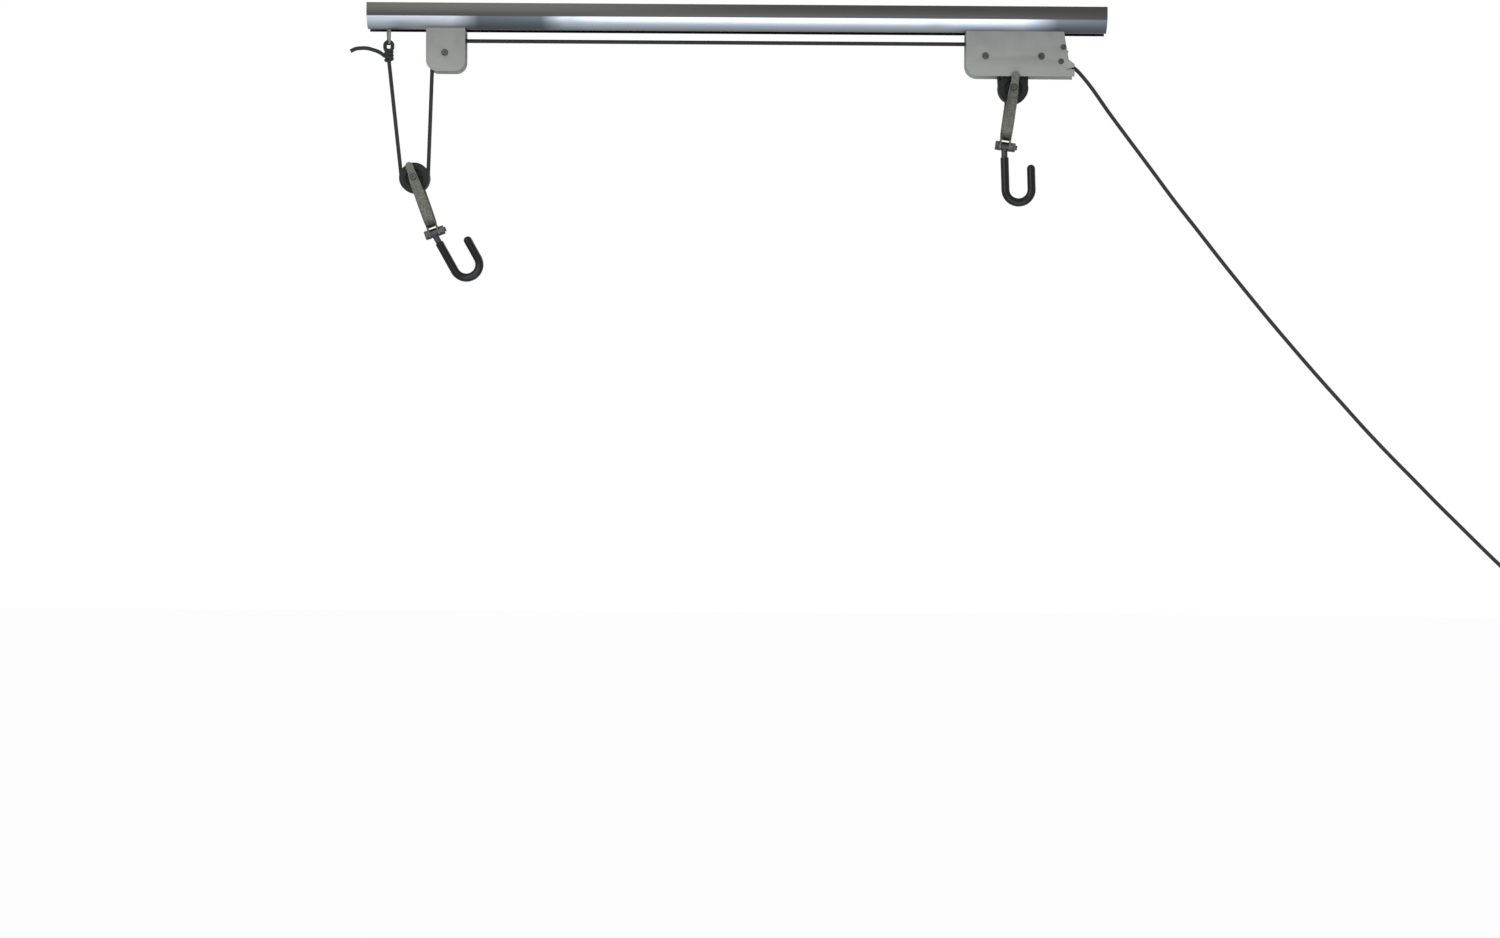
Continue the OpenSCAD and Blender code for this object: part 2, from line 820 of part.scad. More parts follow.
module hook_nut() {
    lean_to_shank()
        translate([tab_out, 0, -bolt_dist])
            rotate([0, 90, 0])
                difference() {
                    union() {
                        cylinder(r = washer_r, h = washer_t);
                        translate([0, 0, washer_t])
                            cylinder(r = bolt_head_r, h = bolt_nut_t, $fn = 6);
                    }
                    translate([0, 0, -cut])
                        cylinder(r = bolt_r + run_gap, h = washer_t + bolt_nut_t + 2 * cut);
                }
}

bowl_at = [shank_x + bowl_r, -bowl_drop];

// A round bar bent to the hook's line, from the height z_top down and round to the tip
module hook_line(r, z_top) {
    translate([bowl_at[0], 0, bowl_at[1]]) {
        translate([-bowl_r, 0, 0])
            cylinder(r = r, h = bowl_drop + z_top);
        rotate([90, 0, 0])
            rotate([0, 0, 180])
                rotate_extrude(angle = 180)
                    translate([bowl_r, 0]) circle(r = r);
        translate([bowl_r, 0, 0]) cylinder(r = r, h = tip_len);
        translate([bowl_r, 0, tip_len]) sphere(r = r);
    }
}

module hook() {
    difference() {
        union() {
            hook_line(hook_r, shank_top);
            lean_to_shank()
                bar_x([0, -bolt_dist], eye_r, -eye_w / 2, eye_w / 2);
        }
        lean_to_shank()
            bar_x([0, -bolt_dist], bolt_r + run_gap, -strap_w, strap_w);
    }
}

module hook_sleeve() {
    difference() {
        hook_line(sleeve_r, sleeve_top);
        hook_line(hook_r + sleeve_gap, sleeve_top + cut);
    }
}

module rear_block_axle() {
    block_axle(rear_block_at);
}

module rear_block_spacers() {
    block_spacers(rear_block_at);
}

module rear_block_pulley() {
    pulley(rear_block_at);
}

module rear_stirrup() {
    color([0.62, 0.63, 0.62]) at_block(rear_block_at, rear_tilt) stirrup();
}

module rear_hook_bolt() {
    color("silver") at_block(rear_block_at, rear_tilt) hook_bolt();
}

module rear_hook_nut() {
    color("silver") at_block(rear_block_at, rear_tilt) hook_nut();
}

module rear_hook() {
    color([0.3, 0.3, 0.3]) at_block(rear_block_at, rear_tilt) hook();
}

module rear_hook_sleeve() {
    color([0.05, 0.05, 0.05]) at_block(rear_block_at, rear_tilt) hook_sleeve();
}

module front_block_axle() {
    block_axle(front_block_at);
}

module front_block_spacers() {
    block_spacers(front_block_at);
}

module front_block_pulley() {
    pulley(front_block_at);
}

module front_stirrup() {
    color([0.62, 0.63, 0.62]) at_block(front_block_at, front_tilt) stirrup();
}

module front_hook_bolt() {
    color("silver") at_block(front_block_at, front_tilt) hook_bolt();
}

module front_hook_nut() {
    color("silver") at_block(front_block_at, front_tilt) hook_nut();
}

module front_hook() {
    color([0.3, 0.3, 0.3]) at_block(front_block_at, front_tilt) hook();
}

module front_hook_sleeve() {
    color([0.05, 0.05, 0.05]) at_block(front_block_at, front_tilt) hook_sleeve();
}

// Rope

rope_colour = [0.08, 0.08, 0.08];
function right_of(dir) = unit(dir - 90);
function left_of(dir) = unit(dir + 90);

knot_turns = 3;

module rope_knot() {
    height = knot_at[1] - knot_end[1];
    step = height / knot_turns;
    color(rope_colour) {
        translate([knot_at[0], 0, knot_end[1]])
            cylinder(r = knot_turn_r, h = height);
        for (i = [0 : knot_turns - 1])
            translate([knot_at[0], 0, knot_end[1] + (i + 0.5) * step])
                rotate_extrude() translate([knot_turn_r, 0]) circle(r = rope_r);
        rope_arc([knot_at[0], loop_top - loop_half], loop_half, 0, 180);
        for (side = [-1, 1])
            rope_line([knot_at[0] + side * loop_half, loop_top - loop_half],
                [knot_at[0] + side * loop_half, knot_at[1] - rope_r]);
    }
}

module rope_tail() {
    color(rope_colour)
        tube(smooth(tail_route, ring_step), [0, 1, 0], rope_r, cord_sides);
}

module rear_fall_a() {
    color(rope_colour)
        rope_line(knot_end, rear_block_at + pitch_r * right_of(fall_a_dir));
}

module rear_bight() {
    color(rope_colour)
        rope_arc(rear_block_at, pitch_r, fall_a_dir + 270, fall_b_dir - fall_a_dir);
}

module rear_fall_b() {
    color(rope_colour)
        rope_line(rear_block_at + pitch_r * right_of(fall_b_dir), rear_axle + pitch_r * left_of(fall_b_dir));
}

module top_run() {
    color(rope_colour) {
        rope_arc(rear_axle, pitch_r, 90, fall_b_dir);
        rope_line(rear_axle + [0, pitch_r], entry_axle + [0, pitch_r]);
        rope_arc(entry_axle, pitch_r, 90, front_a_dir);
    }
}

module front_fall_a() {
    color(rope_colour)
        rope_line(entry_axle + pitch_r * left_of(front_a_dir), front_block_at + pitch_r * right_of(front_a_dir));
}

module front_bight() {
    color(rope_colour)
        rope_arc(front_block_at, pitch_r, front_a_dir + 270, front_b_dir - front_a_dir);
}

module front_fall_b() {
    color(rope_colour)
        rope_line(front_block_at + pitch_r * right_of(front_b_dir), exit_axle + pitch_r * left_of(front_b_dir));
}

// Points round the place c, at the height of the middle plane
function arc_points(c, r, from, to, steps) = [
    for (k = [0 : steps])
        let (p = c + r * unit(from + (to - from) * k / steps)) [p[0], 0, p[1]]
];

module lock_run() {
    color(rope_colour)
        tube(
            concat(
                arc_points(exit_axle, pitch_r, front_b_dir + 90, lock_dir + 90, wrap_steps),
                arc_points(anvil_at, anvil_pitch_r, lock_dir + 90, out_dir + 90, 1),
                [[exit_at[0], 0, exit_at[1]]]
            ),
            [0, 1, 0], rope_r, cord_sides
        );
}

module haul_line() {
    color(rope_colour)
        tube(smooth(haul_route, ring_step), [0, 1, 0], rope_r, cord_sides);
}

// The rope's turns on the cleat: down one side of the neck, round it, and a tail that hangs
wrap_path = concat(
    [[wrap_start_x, wrap_r, cleat_z + wrap_run], [wrap_start_x, wrap_r, cleat_z + rope_d]],
    [
        for (k = [0 : cleat_loops * wrap_rings])
            let (a = 360 * k / wrap_rings)
            [wrap_start_x + wrap_pitch * k / wrap_rings, wrap_r * cos(a), cleat_z - wrap_r * sin(a)]
    ],
    [
        for (z = [rope_d, tail_run / 2, tail_run])
            [wrap_start_x + wrap_pitch * cleat_loops, wrap_r, cleat_z - z]
    ]
);
function least_gap(p, apart) = min([
    for (i = [0 : len(p) - 1 - apart], k = [i + apart : len(p) - 1]) norm(p[i] - p[k])
]) - rope_d;
echo(least_gap_in_cleat_turns = least_gap(wrap_path, wrap_rings / 2));

module cleat_turns() {
    color(rope_colour)
        tube(wrap_path, [1, 0, 0], rope_r, wrap_sides);
}

module wall_cleat() {
    base_x = wall_x - base_t;
    color([0.35, 0.36, 0.37])
        difference() {
            union() {
                translate([base_x, -base_w / 2, cleat_z - base_h / 2])
                    cube([base_t, base_w, base_h]);
                bar_x([0, cleat_z], neck_r, horn_x, wall_x);
                bar_x([0, cleat_z], neck_flare_r, base_x - neck_flare_t, base_x);
                for (turn = [0, 180])
                    translate([horn_x, 0, cleat_z])
                        rotate([turn, 0, 0]) {
                            cylinder(r1 = horn_r, r2 = horn_tip_r, h = horn_len / 2 - horn_tip_r);
                            translate([0, 0, horn_len / 2 - horn_tip_r]) sphere(r = horn_tip_r);
                        }
                translate([horn_x, 0, cleat_z]) sphere(r = neck_r);
            }
            for (side = [-1, 1])
                bar_x([side * cleat_pitch / 2, cleat_z], cleat_hole_d / 2, base_x - cut, wall_x + cut);
        }
}

rail();
rear_bracket();
rear_bracket_bolts();
rear_bracket_nuts();
lock_bracket();
lock_bracket_bolts();
lock_bracket_nuts();
rope_anchor();
rear_bracket_axle();
rear_bracket_pulley();
entry_axle_rivet();
entry_pulley();
exit_axle_rivet();
exit_pulley();
lock_cam();
cam_pin();
lock_anvil();
anvil_pin();
rear_block_axle();
rear_block_spacers();
rear_block_pulley();
rear_stirrup();
rear_hook_bolt();
rear_hook_nut();
rear_hook();
rear_hook_sleeve();
front_block_axle();
front_block_spacers();
front_block_pulley();
front_stirrup();
front_hook_bolt();
front_hook_nut();
front_hook();
front_hook_sleeve();
rope_knot();
rope_tail();
rear_fall_a();
rear_bight();
rear_fall_b();
top_run();
front_fall_a();
front_bight();
front_fall_b();
lock_run();
haul_line();
cleat_turns();
wall_cleat();
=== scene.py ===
# %% [markdown]
# A ceiling hoist for a bicycle is an aluminium rail with two brackets of pulleys under it.
# Two hooks hang in the bights of one rope, and the rope's other end is wound on a wall cleat.
# The exact solids come packed from CAD, already in place and in metres. This lesson keeps
# them fixed, dresses them with finishes, rounds the edges of the rail, brackets and straps,
# and lays braided rope over the plain round bars that stand for it.

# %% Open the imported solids
import json
import math

import bpy
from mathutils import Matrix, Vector

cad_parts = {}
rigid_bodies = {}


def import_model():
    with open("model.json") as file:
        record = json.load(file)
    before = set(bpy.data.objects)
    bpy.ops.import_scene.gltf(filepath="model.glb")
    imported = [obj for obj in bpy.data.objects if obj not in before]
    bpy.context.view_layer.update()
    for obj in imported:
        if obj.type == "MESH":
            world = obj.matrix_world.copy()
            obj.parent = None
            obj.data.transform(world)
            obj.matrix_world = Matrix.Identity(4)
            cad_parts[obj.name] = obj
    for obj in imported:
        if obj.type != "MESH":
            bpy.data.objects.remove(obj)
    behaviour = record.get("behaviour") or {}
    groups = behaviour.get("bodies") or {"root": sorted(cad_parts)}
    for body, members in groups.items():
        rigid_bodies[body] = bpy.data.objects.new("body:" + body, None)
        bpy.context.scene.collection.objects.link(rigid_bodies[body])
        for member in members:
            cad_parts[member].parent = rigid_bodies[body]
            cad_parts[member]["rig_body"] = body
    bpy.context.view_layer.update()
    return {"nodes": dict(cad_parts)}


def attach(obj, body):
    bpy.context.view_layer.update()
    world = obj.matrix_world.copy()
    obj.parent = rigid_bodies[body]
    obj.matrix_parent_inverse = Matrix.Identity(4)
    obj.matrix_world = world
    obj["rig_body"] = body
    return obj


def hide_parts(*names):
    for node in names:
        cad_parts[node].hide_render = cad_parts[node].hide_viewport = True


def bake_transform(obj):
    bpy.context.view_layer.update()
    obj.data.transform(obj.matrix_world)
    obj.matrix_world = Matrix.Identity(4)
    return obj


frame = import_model()
solids = frame["nodes"]

# %% [markdown]
# The photograph looks straight at the hoist from well below the ceiling. The rail lies along
# the top of the picture and takes up half of its width, seen by a lens of about 64 mm from
# 3.4 m away.
# The camera leans by less than half a degree, which drops the rail's right end a little.

# %% Place the camera
bpy.ops.object.camera_add(
    location=(0.0203, -3.4, -0.5921),
    rotation=(math.radians(90), math.radians(-0.37), 0),
)
camera = bpy.context.object
camera.name = "photo_camera"
camera.data.lens = 63.55
camera.data.sensor_width = 36
camera.data.clip_end = 100
bpy.context.scene.camera = camera
print("camera at", tuple(round(v, 3) for v in camera.location))

# %% [markdown]
# Every length of rope follows a line that the pulleys decide: it leaves one wheel along a
# tangent and meets the next one along the same tangent. A few lines of geometry find those
# points, so that the braid lies exactly where the CAD solids lie.

# %% The pulleys and the points where the rope is held
PITCH = 0.017
ROPE_R = 0.0025
REAR_WHEEL = Vector((-0.3735, -0.062))
ENTRY_WHEEL = Vector((0.318, -0.062))
EXIT_WHEEL = Vector((0.3895, -0.062))
REAR_BLOCK = Vector((-0.4125, -0.2215))
FRONT_BLOCK = Vector((0.3545, -0.102))
KNOT_FOOT = Vector((-0.4465, -0.073))
ANVIL = Vector((0.4147, -0.0683))
ANVIL_PITCH = 0.0067
ROPE_EXIT = Vector((0.434, -0.0755))
print("rope of", ROPE_R * 2000, "mm over", PITCH * 2000, "mm wheels")

# %% Tangents, as angles in the plane of the wheels
def turn(angle):
    return Vector((math.cos(angle), math.sin(angle)))


def bearing(vector):
    return math.atan2(vector.y, vector.x)


QUARTER = math.pi / 2
step_a = REAR_BLOCK - KNOT_FOOT
step_b = REAR_WHEEL - REAR_BLOCK
step_c = FRONT_BLOCK - ENTRY_WHEEL
step_d = EXIT_WHEEL - FRONT_BLOCK
step_e = ANVIL - EXIT_WHEEL
step_f = ROPE_EXIT - ANVIL
rear_down = bearing(step_a) - math.asin(PITCH / step_a.length)
rear_up = bearing(step_b) + math.asin(2 * PITCH / step_b.length)
front_down = bearing(step_c) - math.asin(2 * PITCH / step_c.length)
front_up = bearing(step_d) + math.asin(2 * PITCH / step_d.length)
lock_down = bearing(step_e) - math.asin((PITCH - ANVIL_PITCH) / step_e.length)
rope_out = bearing(step_f) - QUARTER + math.acos(ANVIL_PITCH / step_f.length)
print("the rope leaves the lock at", round(math.degrees(rope_out), 1), "degrees")


# %% Straight runs and bends as rows of close points
def run(start, end, gap=0.002):
    count = max(1, round((end - start).length / gap))
    return [start.lerp(end, k / count) for k in range(count + 1)]


def bend(centre, radius, first, last, gap=0.0015):
    count = max(2, round(abs(last - first) * radius / gap))
    return [centre + radius * turn(first + (last - first) * k / count) for k in range(count + 1)]


def upright(points):
    return [Vector((p.x, 0, p.y)) for p in points]


rear_path = upright(
    run(KNOT_FOOT, REAR_BLOCK + PITCH * turn(rear_down - QUARTER))[:-1]
    + bend(REAR_BLOCK, PITCH, rear_down - QUARTER, rear_up - QUARTER)
    + run(REAR_BLOCK + PITCH * turn(rear_up - QUARTER), REAR_WHEEL + PITCH * turn(rear_up + QUARTER))[1:]
)
top_path = upright(
    bend(REAR_WHEEL, PITCH, rear_up + QUARTER, QUARTER)
    + run(REAR_WHEEL + Vector((0, PITCH)), ENTRY_WHEEL + Vector((0, PITCH)))[1:-1]
    + bend(ENTRY_WHEEL, PITCH, QUARTER, front_down + QUARTER)
)
print("rear loop", len(rear_path), "points, top run", len(top_path), "points")

# %% The front loop and the run through the lock
front_path = upright(
    run(
        ENTRY_WHEEL + PITCH * turn(front_down + QUARTER),
        FRONT_BLOCK + PITCH * turn(front_down - QUARTER),
    )[:-1]
    + bend(FRONT_BLOCK, PITCH, front_down - QUARTER, front_up - QUARTER)
    + run(FRONT_BLOCK + PITCH * turn(front_up - QUARTER), EXIT_WHEEL + PITCH * turn(front_up + QUARTER))[1:]
)
lock_path = upright(
    bend(EXIT_WHEEL, PITCH, front_up + QUARTER, lock_down + QUARTER)
    + run(
        EXIT_WHEEL + PITCH * turn(lock_down + QUARTER),
        ANVIL + ANVIL_PITCH * turn(lock_down + QUARTER),
    )[1:-1]
    + bend(ANVIL, ANVIL_PITCH, lock_down + QUARTER, rope_out + QUARTER, 0.001)
    + run(ANVIL + ANVIL_PITCH * turn(rope_out + QUARTER), ROPE_EXIT)[1:]
)
print("front loop", len(front_path), "points, lock run", len(lock_path), "points")


# %% [markdown]
# The hauling end was pulled taut when it was tied off, and still sags in a shallow curve.
# Its line runs down to the right, out of the picture. What follows there is a guess: three
# turns round a cleat on the wall just beyond the edge. The steps are those of the CAD part,
# counted from the place where the rope leaves the lock, and for the tail from the knot.

# %% The routes of the hauling line and the tail, as steps in millimetres
HAUL_STEPS = [
    (0, 0, 0), (5, 0, -4.5), (13, 0, -13.5), (21, 0, -23.5), (29, 0, -34.5),
    (44, 1, -55.5), (68, 1, -87.5), (99, 1, -128.5), (130, 2, -169.5), (161, 2, -208.5),
    (192, 3, -247.5), (223, 3, -285.5), (254, 4, -322.5), (285, 4, -358.5), (316, 5, -393.5),
    (348, 6, -428.5), (379, 6, -462.5), (410, 7, -494.5), (441, 7, -525.5), (472, 8, -556.5),
    (503, 9, -586.5), (534, 10, -616.5), (556, 10, -637.5), (572, 11, -653.5), (582, 11, -666.5),
    (586, 11, -680.5), (587, 11, -692.5),
]
TAIL_STEPS = [
    (-5, 0, -10), (-12, 0, -5), (-20, 0, -2), (-28, 0, 0), (-36, 0, 0),
    (-43, 0, -1), (-49, 0, -4),
]
KNOT = Vector((-0.447, 0, -0.055))
print("hauling line:", len(HAUL_STEPS), "steps, tail:", len(TAIL_STEPS))


# %% A smooth line through given points
def through(steps, start, gap=0.003):
    knots = [start + Vector(p) / 1000 for p in steps]
    knots = [2 * knots[0] - knots[1]] + knots + [2 * knots[-1] - knots[-2]]
    line = []
    for a, b, c, d in zip(knots, knots[1:], knots[2:], knots[3:]):
        count = max(2, round((c - b).length / gap))
        for k in range(count):
            t = k / count
            line.append(
                0.5 * (2 * b + (c - a) * t + (2 * a - 5 * b + 4 * c - d) * t * t
                       + (3 * b - a - 3 * c + d) * t * t * t)
            )
    return line + [knots[-2]]


haul_path = through(HAUL_STEPS, Vector((ROPE_EXIT.x, 0, ROPE_EXIT.y)))
tail_path = through(TAIL_STEPS, KNOT, 0.002)
print("smoothed to", len(haul_path), "and", len(tail_path), "points")

# %% Three turns round the cleat's neck, and the end that hangs
CLEAT = Vector((1.021, 0, -0.782))
WRAP_R = 0.011
WRAP_PITCH = 0.0058
WRAP_TURNS = 3
WRAP_STEPS = 24
NECK_STEP = 0.0035
NECK_STEPS = 4
HANG = 0.046
HANG_STEPS = 16
for k in range(1, NECK_STEPS + 1):
    haul_path.append(Vector((CLEAT.x, WRAP_R, CLEAT.z + NECK_STEP * (NECK_STEPS - k))))
for k in range(1, WRAP_TURNS * WRAP_STEPS + 1):
    angle = 2 * math.pi * k / WRAP_STEPS
    haul_path.append(Vector((
        CLEAT.x + WRAP_PITCH * k / WRAP_STEPS,
        WRAP_R * math.cos(angle),
        CLEAT.z - WRAP_R * math.sin(angle),
    )))
for k in range(1, HANG_STEPS + 1):
    haul_path.append(Vector((
        CLEAT.x + WRAP_PITCH * WRAP_TURNS, WRAP_R, CLEAT.z - HANG * k / HANG_STEPS,
    )))


# %% [markdown]
# Braided cord is a sleeve of yarns that cross left and right over a core. Each rope is made as
# a round skin along its line. The skin keeps the distance round and along the rope as its
# own UV map, because the braid has to follow the rope through every bend.

# %% A rope skin along a line
SIDES = 14


def rope(name, line):
    verts, faces, across = [], [], []
    side = Vector((0, 1, 0))
    length = 0.0
    for i, point in enumerate(line):
        ahead = (line[min(i + 1, len(line) - 1)] - line[max(i - 1, 0)]).normalized()
        side = (side - ahead * side.dot(ahead)).normalized()
        other = ahead.cross(side)
        length += (point - line[i - 1]).length if i else 0
        for k in range(SIDES):
            angle = 2 * math.pi * k / SIDES
            verts.append(point + ROPE_R * (math.cos(angle) * side + math.sin(angle) * other))
        across.append(length)
    last = (len(line) - 1) * SIDES
    for i in range(len(line) - 1):
        for k in range(SIDES):
            a = i * SIDES + k
            b = i * SIDES + (k + 1) % SIDES
            faces.append((a, b, b + SIDES, a + SIDES))
    faces.append(tuple(reversed(range(SIDES))))
    faces.append(tuple(range(last, last + SIDES)))
    mesh = bpy.data.meshes.new(name)
    mesh.from_pydata(verts, [], faces)
    weave = mesh.uv_layers.new(name="braid")
    for face in mesh.polygons:
        ring = face.index // SIDES
        for order, loop in enumerate(face.loop_indices):
            if face.index < (len(line) - 1) * SIDES:
                k = face.index % SIDES + (1 if order in (1, 2) else 0)
                weave.data[loop].uv = (k / SIDES, across[ring + (1 if order > 1 else 0)] / (2 * ROPE_R))
            else:
                weave.data[loop].uv = (0.5, 0.5)
    mesh.polygons.foreach_set("use_smooth", [len(f.vertices) == 4 for f in mesh.polygons])
    piece = bpy.data.objects.new(name, mesh)
    bpy.context.scene.collection.objects.link(piece)
    return piece


print("each skin is a tube of", SIDES, "sides")

# %% Lay the hauling line and the loose tail
haul_rope = rope("haul_rope", haul_path)
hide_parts("haul_line", "cleat_turns")
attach(haul_rope, "root")
tail_rope = rope("tail_rope", tail_path)
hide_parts("rope_tail")
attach(tail_rope, "root")
print("declared", haul_rope.name, "and", tail_rope.name)

# %% [markdown]
# The two loops that carry the blocks grow longer as the blocks come down. Each loop is one
# piece, from where it leaves the rail, down round the block and up again. Here each loop is laid
# where it hangs now and is tied to no body.
# The real rope doesn't stretch: more of it comes in from the hauling end.

# %% Lay the loops and the fixed runs
rear_rope = rope("rear_loop_rope", rear_path)
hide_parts("rear_fall_a", "rear_bight", "rear_fall_b")
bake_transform(rear_rope)
front_rope = rope("front_loop_rope", front_path)
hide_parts("front_fall_a", "front_bight", "front_fall_b")
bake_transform(front_rope)
top_rope = rope("top_run_rope", top_path)
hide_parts("top_run")
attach(top_rope, "root")
lock_rope = rope("lock_run_rope", lock_path)
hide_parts("lock_run")
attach(lock_rope, "root")
print("fixed and stretching ropes:", rear_rope.name, front_rope.name, top_rope.name, lock_rope.name)

# %% [markdown]
# The rope's fixed end goes up through the anchor strap, comes down again and is knotted round
# itself. One line draws it: up through the middle of the knot, over the strap, and down in
# three tight turns.

# %% Draw the knot's line
knot_line = [
    Vector((-0.4465, 0, -0.0745)),
    Vector((-0.4465, 0, -0.070)),
    Vector((-0.4460, 0, -0.0635)),
    Vector((-0.4440, 0.0005, -0.0580)),
    Vector((-0.4423, 0, -0.0545)),
]
LOOP = Vector((-0.447, 0, -0.0513))
LOOP_R = 0.0048
LOOP_STEPS = 16
for k in range(LOOP_STEPS + 1):
    angle = math.pi * k / LOOP_STEPS
    knot_line.append(LOOP + LOOP_R * Vector((math.cos(angle), 0, math.sin(angle))))
knot_line.append(Vector((-0.4517, -0.0006, -0.0540)))
COILS = 3.1
COIL_R = 0.0038
COIL_TOP = -0.0572
COIL_HEIGHT = 0.0134
COIL_DRIFT = 0.0005
COIL_STEPS = 75
for k in range(COIL_STEPS + 1):
    t = k / COIL_STEPS
    angle = math.pi + 2 * math.pi * COILS * t
    knot_line.append(Vector((
        KNOT.x + COIL_DRIFT * t + COIL_R * math.cos(angle),
        COIL_R * math.sin(angle),
        COIL_TOP - COIL_HEIGHT * t,
    )))
knot_rope = rope("anchor_knot", knot_line)
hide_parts("rope_knot")
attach(knot_rope, "root")
print("knot of", len(knot_line), "points")

# %% [markdown]
# A finish is easier to get right when it starts from what the real one is. Colours are written
# as sRGB hex values, as they would be picked from a swatch, and one function turns them into
# the linear values that a shader needs. Another adds a node with its settings and its links.

# %% Helpers for finishes
def linear(hex_colour):
    values = [int(hex_colour[i:i + 2], 16) / 255 for i in (1, 3, 5)]
    return tuple(v / 12.92 if v <= 0.04045 else ((v + 0.055) / 1.055) ** 2.4 for v in values) + (1.0,)


def add_node(tree, kind, inputs=None, **settings):
    node = tree.nodes.new(kind)
    for name, value in settings.items():
        setattr(node, name, value)
    for key, value in (inputs or {}).items():
        if isinstance(value, bpy.types.NodeSocket):
            tree.links.new(value, node.inputs[key])
        else:
            node.inputs[key].default_value = value
    return node


def new_finish(name, **settings):
    finish = bpy.data.materials.new(name)
    finish.use_nodes = True
    tree = finish.node_tree
    tree.nodes.clear()
    inputs = {key.replace("_", " "): value for key, value in settings.items()}
    shader = add_node(tree, "ShaderNodeBsdfPrincipled", inputs)
    add_node(tree, "ShaderNodeOutputMaterial", {"Surface": shader.outputs[0]})
    return finish, tree, shader


print("mid grey is", round(linear("#808080")[0], 3), "in linear light")

# %% [markdown]
# The rail is extruded aluminium. The die leaves fine lines along its whole length. Its upright
# sides are painted dark and warm, as painted shade. The curved sides below the crease carry painted
# light, bright and a little blue, darker lower down and in greyer clouds here and there, with two
# patches of painted reflection, and the two lips at the slot are painted dark as shade in the slot.

# %% Extruded aluminium
aluminium, tree, shader = new_finish("extruded_aluminium", Metallic=1.0)
place = add_node(tree, "ShaderNodeTexCoord")
along = add_node(tree, "ShaderNodeMapping", {"Vector": place.outputs["Object"], "Scale": (3.0, 900.0, 900.0)})
lines = add_node(tree, "ShaderNodeTexNoise", {"Vector": along.outputs[0], "Scale": 1.0, "Detail": 4.0})
parts = add_node(tree, "ShaderNodeSeparateXYZ", {"Vector": place.outputs["Object"]})
# The painted shade of the upright side ends just under the crease, where the curved side begins to face the
# floor
PAINTED_SHADE_END = (-0.0162, -0.0174)
CURVE_SPAN = (-0.016, -0.032)
curve = add_node(tree, "ShaderNodeMapRange",
                 {0: parts.outputs["Z"], 1: PAINTED_SHADE_END[0], 2: PAINTED_SHADE_END[1], 3: 0.0, 4: 1.0})
fade = add_node(tree, "ShaderNodeMapRange",
                {0: parts.outputs["Z"], 1: CURVE_SPAN[0], 2: CURVE_SPAN[1], 3: 0.0, 4: 1.0})
cloud_mapping = add_node(tree, "ShaderNodeMapping", {"Vector": place.outputs["Object"], "Scale": (9.0, 30.0, 30.0)})
clouds = add_node(tree, "ShaderNodeTexNoise", {"Vector": cloud_mapping.outputs[0], "Scale": 1.0, "Detail": 2.0})
cloudy = add_node(tree, "ShaderNodeMapRange", {0: clouds.outputs[0], 1: 0.52, 2: 0.68, 3: 0.0, 4: 0.4})
# Painted reflections darken two places: beside the rear bracket, and the right end from the rope lock on
LEFT_PATCH = -0.29
right_end = add_node(tree, "ShaderNodeMapRange", {0: parts.outputs["X"], 1: 0.365, 2: 0.41, 3: 0.0, 4: 0.85})
middle = add_node(tree, "ShaderNodeMath", {0: parts.outputs["X"], 1: -LEFT_PATCH}, operation="ADD")
away = add_node(tree, "ShaderNodeMath", {0: middle.outputs[0]}, operation="ABSOLUTE")
left_patch = add_node(tree, "ShaderNodeMapRange", {0: away.outputs[0], 1: 0.075, 2: 0.04, 3: 0.0, 4: 0.9})
painted_reflections_and_clouds = add_node(tree, "ShaderNodeMath", {0: right_end.outputs[0], 1: left_patch.outputs[0]},
                operation="MAXIMUM")
painted_reflections_and_clouds = add_node(tree, "ShaderNodeMath", {0: painted_reflections_and_clouds.outputs[0], 1: cloudy.outputs[0]}, operation="MAXIMUM")
# Painted light: the curved side is bright and a little blue under the crease, darker lower down
bright = add_node(tree, "ShaderNodeMix", {0: fade.outputs[0], 6: linear("#DDE5F0"), 7: linear("#7C848A")},
                  data_type="RGBA")
# Painted reflections, and the greyer clouds at random, darken the curved side
low = add_node(tree, "ShaderNodeMix", {0: painted_reflections_and_clouds.outputs[0], 6: bright.outputs[2], 7: linear("#454D52")},
               data_type="RGBA")
# Painted shade: above the crease the upright side is painted dark and warm
side = add_node(tree, "ShaderNodeMix", {0: curve.outputs[0], 6: linear("#4B4A47"), 7: low.outputs[2]},
                data_type="RGBA")
# Painted shade on the lips, the lowest 3 mm of the rail, within 12 mm of the middle
foot = add_node(tree, "ShaderNodeMapRange", {0: parts.outputs["Z"], 1: -0.0282, 2: -0.0288, 3: 0.0, 4: 1.0})
inward = add_node(tree, "ShaderNodeMath", {0: parts.outputs["Y"]}, operation="ABSOLUTE")
narrow = add_node(tree, "ShaderNodeMapRange", {0: inward.outputs[0], 1: 0.0119, 2: 0.0115, 3: 0.0, 4: 1.0})
painted_slot_shade = add_node(tree, "ShaderNodeMath", {0: foot.outputs[0], 1: narrow.outputs[0]}, operation="MULTIPLY")
tone = add_node(tree, "ShaderNodeMix", {0: painted_slot_shade.outputs[0], 6: side.outputs[2], 7: linear("#17181A")},
                data_type="RGBA")
shade = add_node(tree, "ShaderNodeMix", {0: lines.outputs[0], 6: (0.82, 0.82, 0.82, 1), 7: (1, 1, 1, 1)},
                 data_type="RGBA")
colour = add_node(tree, "ShaderNodeMix", {0: 1.0, 6: tone.outputs[2], 7: shade.outputs[2]},
                  data_type="RGBA", blend_type="MULTIPLY")
gloss = add_node(tree, "ShaderNodeMapRange", {0: lines.outputs[0], 3: 0.26, 4: 0.44})
